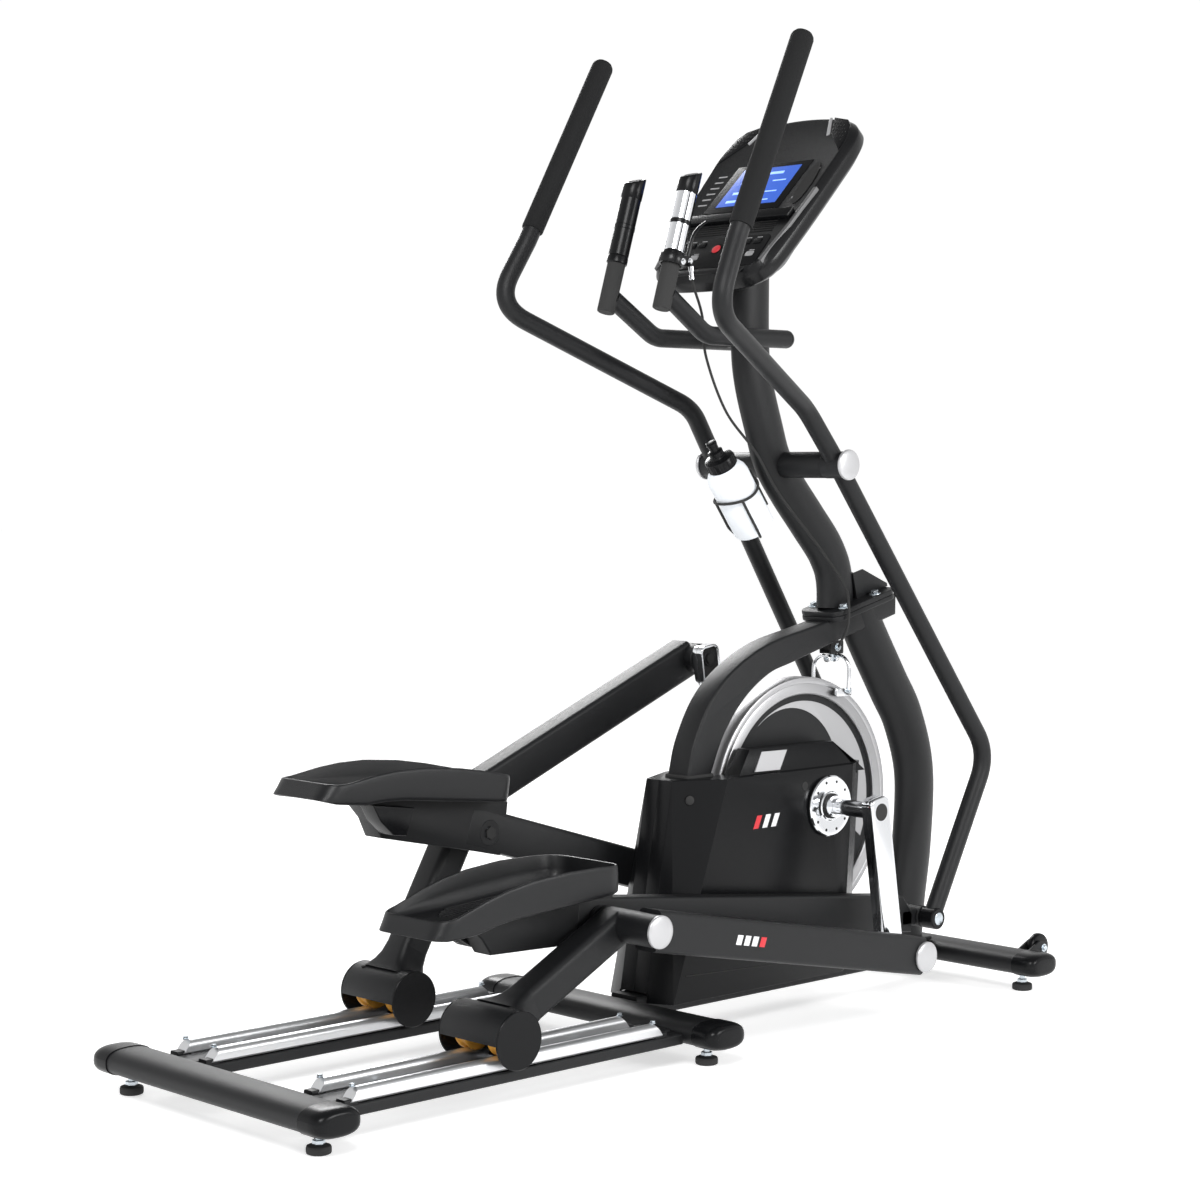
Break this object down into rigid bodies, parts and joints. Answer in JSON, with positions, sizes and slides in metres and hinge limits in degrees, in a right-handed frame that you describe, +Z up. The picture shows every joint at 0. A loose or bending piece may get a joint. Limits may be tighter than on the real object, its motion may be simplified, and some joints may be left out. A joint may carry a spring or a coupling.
{
  "type": "elliptical trainer",
  "caption": "Elliptical cross trainer: crank-driven rail arms roll on rod tracks, carry tray pedals and link to swinging arms beside a mast with console, flywheel and rim brake.",
  "frame": {"origin": "centre of the footprint's bounding box on the floor", "axes": "+X along the machine from the rear crossbar to the mast, +Y to the rider's left, +Z up"},
  "size_m": [1.7282, 0.566, 1.6523],
  "materials": {
    "black_frame": "satin textured powder coat",
    "rod_aluminium": "drawn, satin",
    "flywheel_steel": "turned rim",
    "chrome": "polished",
    "cast_pulley": "cast",
    "housing_plastic": "fine grain",
    "black_rubber": "matt",
    "roller_orange": "satin",
    "bottle_white": "translucent satin",
    "display_blue": "lit display",
    "key_red": "satin"
  },
  "bodies": {
    "frame": {"rear_crossbar": "black_frame", "middle_crossbar": "black_frame", "front_crossbar": "black_frame", "left_rail_beam": "black_frame", "right_rail_beam": "black_frame", "left_outer_rail_rod": "rod_aluminium", "left_inner_rail_rod": "rod_aluminium", "right_outer_rail_rod": "rod_aluminium", "right_inner_rail_rod": "rod_aluminium", "base_spine": "black_frame", "lower_mast": "black_frame", "arch_tube": "black_frame", "upper_mast": "black_frame", "swing_shaft": "black_frame", "left_housing": "housing_plastic", "right_housing": "housing_plastic", "drive_belt": "black_rubber", "flywheel_belt": "black_rubber", "brake_bracket": "chrome", "fixed_handlebar": "black_frame", "left_pulse_grip": "black_rubber", "right_pulse_grip": "black_rubber", "lever_clamp": "chrome", "console_shell": "housing_plastic", "console_display": "display_blue", "bottle_cage": "black_rubber", "brake_cable": "black_rubber"},
    "crank_set": {"crank_axle": "chrome", "left_crank_arm": "chrome", "right_crank_arm": "chrome", "drive_pulley": "cast_pulley"},
    "jack_set": {"jackshaft": "cast_pulley"},
    "flywheel_set": {"flywheel": "flywheel_steel"},
    "right_arm": {"right_rail_arm": "black_frame"},
    "right_step": {"right_pedal_beam": "black_frame", "right_pedal": "housing_plastic"},
    "right_swing": {"right_swing_arm": "black_frame", "right_foam_grip": "black_rubber"},
    "right_outer_roller_body": {"right_outer_roller": "roller_orange"},
    "right_inner_roller_body": {"right_inner_roller": "roller_orange"},
    "left_arm": {"left_rail_arm": "black_frame"},
    "left_step": {"left_pedal_beam": "black_frame", "left_pedal": "housing_plastic"},
    "left_swing": {"left_swing_arm": "black_frame", "left_foam_grip": "black_rubber"},
    "left_outer_roller_body": {"left_outer_roller": "roller_orange"},
    "left_inner_roller_body": {"left_inner_roller": "roller_orange"},
    "left_wheel": {"left_transport_wheel": "black_rubber"},
    "right_wheel": {"right_transport_wheel": "black_rubber"},
    "rear_left_foot_body": {"rear_left_foot": "black_rubber"},
    "rear_right_foot_body": {"rear_right_foot": "black_rubber"},
    "middle_left_foot_body": {"middle_left_foot": "black_rubber"},
    "middle_right_foot_body": {"middle_right_foot": "black_rubber"},
    "front_left_foot_body": {"front_left_foot": "black_rubber"},
    "front_right_foot_body": {"front_right_foot": "black_rubber"},
    "lever": {"brake_lever": "housing_plastic"},
    "left_pad_arm": {"left_brake_arm": "chrome"},
    "right_pad_arm": {"right_brake_arm": "chrome"},
    "key": {"start_key": "key_red"},
    "bottle": {"bottle": "bottle_white"}
  },
  "joints": [
    {"name": "crank_turn", "type": "hinge", "parent": "frame", "child": "crank_set", "pos_m": [0.40365, 0, 0.353], "axis": [0, 1, 0], "continuous": true},
    {"name": "jackshaft_turn", "type": "hinge", "parent": "frame", "child": "jack_set", "pos_m": [0.17365, 0, 0.33], "axis": [0, 1, 0], "continuous": true},
    {"name": "flywheel_turn", "type": "hinge", "parent": "frame", "child": "flywheel_set", "pos_m": [0.40365, 0, 0.353], "axis": [0, 1, 0], "continuous": true},
    {"name": "right_stride", "type": "slide", "parent": "frame", "child": "right_arm", "axis": [1, 0, 0], "range_m": [-0.171, 0.245]},
    {"name": "left_stride", "type": "slide", "parent": "frame", "child": "left_arm", "axis": [1, 0, 0], "range_m": [-0.323, 0.171]},
    {"name": "right_knee", "type": "hinge", "parent": "right_arm", "child": "right_step", "pos_m": [-0.19612, -0.1065, 0.23162], "axis": [0, 1, 0], "range_deg": [-7.7, 5.5]},
    {"name": "right_swing_pivot", "type": "hinge", "parent": "frame", "child": "right_swing", "pos_m": [0.34775, -0.14, 0.944], "axis": [0, 1, 0], "range_deg": [-19.1, 13.5]},
    {"name": "right_outer_roller_turn", "type": "hinge", "parent": "right_arm", "child": "right_outer_roller_body", "pos_m": [-0.45551, -0.2041, 0.099], "axis": [0, 1, 0], "range_deg": [-406.9, 582.1]},
    {"name": "right_inner_roller_turn", "type": "hinge", "parent": "right_arm", "child": "right_inner_roller_body", "pos_m": [-0.45551, -0.1299, 0.099], "axis": [0, 1, 0], "range_deg": [-406.9, 582.1]},
    {"name": "left_knee", "type": "hinge", "parent": "left_arm", "child": "left_step", "pos_m": [-0.23585, 0.1065, 0.35169], "axis": [0, 1, 0], "range_deg": [-2.7, 3.6]},
    {"name": "left_swing_pivot", "type": "hinge", "parent": "frame", "child": "left_swing", "pos_m": [0.34775, 0.14, 0.944], "axis": [0, 1, 0], "range_deg": [-13, 18.4]},
    {"name": "left_outer_roller_turn", "type": "hinge", "parent": "left_arm", "child": "left_outer_roller_body", "pos_m": [-0.38083, 0.2041, 0.099], "axis": [0, 1, 0], "range_deg": [-582.1, 406.9]},
    {"name": "left_inner_roller_turn", "type": "hinge", "parent": "left_arm", "child": "left_inner_roller_body", "pos_m": [-0.38083, 0.1299, 0.099], "axis": [0, 1, 0], "range_deg": [-582.1, 406.9]},
    {"name": "left_wheel_turn", "type": "hinge", "parent": "frame", "child": "left_wheel", "pos_m": [0.83925, 0.2, 0.066], "axis": [0, 1, 0], "continuous": true},
    {"name": "right_wheel_turn", "type": "hinge", "parent": "frame", "child": "right_wheel", "pos_m": [0.83925, -0.2, 0.066], "axis": [0, 1, 0], "continuous": true},
    {"name": "rear_left_foot_turn", "type": "hinge", "parent": "frame", "child": "rear_left_foot_body", "pos_m": [-0.82225, 0.231, 0], "axis": [0, 0, 1], "continuous": true},
    {"name": "rear_right_foot_turn", "type": "hinge", "parent": "frame", "child": "rear_right_foot_body", "pos_m": [-0.82225, -0.231, 0], "axis": [0, 0, 1], "continuous": true},
    {"name": "middle_left_foot_turn", "type": "hinge", "parent": "frame", "child": "middle_left_foot_body", "pos_m": [-0.05725, 0.2295, 0], "axis": [0, 0, 1], "continuous": true},
    {"name": "middle_right_foot_turn", "type": "hinge", "parent": "frame", "child": "middle_right_foot_body", "pos_m": [-0.05725, -0.2295, 0], "axis": [0, 0, 1], "continuous": true},
    {"name": "front_left_foot_turn", "type": "hinge", "parent": "frame", "child": "front_left_foot_body", "pos_m": [0.76925, 0.219, 0], "axis": [0, 0, 1], "continuous": true},
    {"name": "front_right_foot_turn", "type": "hinge", "parent": "frame", "child": "front_right_foot_body", "pos_m": [0.76925, -0.219, 0], "axis": [0, 0, 1], "continuous": true},
    {"name": "brake_lever_squeeze", "type": "hinge", "parent": "frame", "child": "lever", "pos_m": [0.06153, -0.065, 1.27526], "axis": [0, 1, 0], "range_deg": [-16, 0], "stiffness_Nm_per_rad": 1.2, "springref_deg": 5.73},
    {"name": "left_pad_close", "type": "hinge", "parent": "frame", "child": "left_pad_arm", "pos_m": [0.49565, 0, 0.601], "axis": [1, 0, 0], "range_deg": [-1.75, 0]},
    {"name": "right_pad_close", "type": "hinge", "parent": "frame", "child": "right_pad_arm", "pos_m": [0.49565, 0, 0.601], "axis": [1, 0, 0], "range_deg": [0, 1.75]},
    {"name": "start_key_press", "type": "slide", "parent": "frame", "child": "key", "axis": [0.7455, 0, -0.6665], "range_m": [0, 0.0015], "stiffness_N_per_m": 300, "springref_m": -0.0005},
    {"name": "bottle_lift", "type": "slide", "parent": "frame", "child": "bottle", "axis": [-0.5978, 0, 0.8017], "range_m": [0, 0.12]}
  ],
  "couplings": [
    {"joint": "jackshaft_turn", "follows": "crank_turn", "ratio": 4},
    {"joint": "flywheel_turn", "follows": "crank_turn", "ratio": 7.2},
    {"joint": "left_stride", "follows": "right_stride", "ratio": -1},
    {"joint": "right_knee", "follows": "right_stride", "rad_per_m": -0.50969},
    {"joint": "right_swing_pivot", "follows": "right_stride", "rad_per_m": -1.3245},
    {"joint": "right_outer_roller_turn", "follows": "right_stride", "rad_per_m": 41.322},
    {"joint": "right_inner_roller_turn", "follows": "right_stride", "rad_per_m": 41.322},
    {"joint": "left_knee", "follows": "right_stride", "rad_per_m": 0.21834},
    {"joint": "left_swing_pivot", "follows": "right_stride", "rad_per_m": 1.2732},
    {"joint": "left_outer_roller_turn", "follows": "right_stride", "rad_per_m": -41.322},
    {"joint": "left_inner_roller_turn", "follows": "right_stride", "rad_per_m": -41.322},
    {"joint": "left_pad_close", "follows": "brake_lever_squeeze", "ratio": 0.085},
    {"joint": "right_pad_close", "follows": "brake_lever_squeeze", "ratio": -0.085}
  ]
}
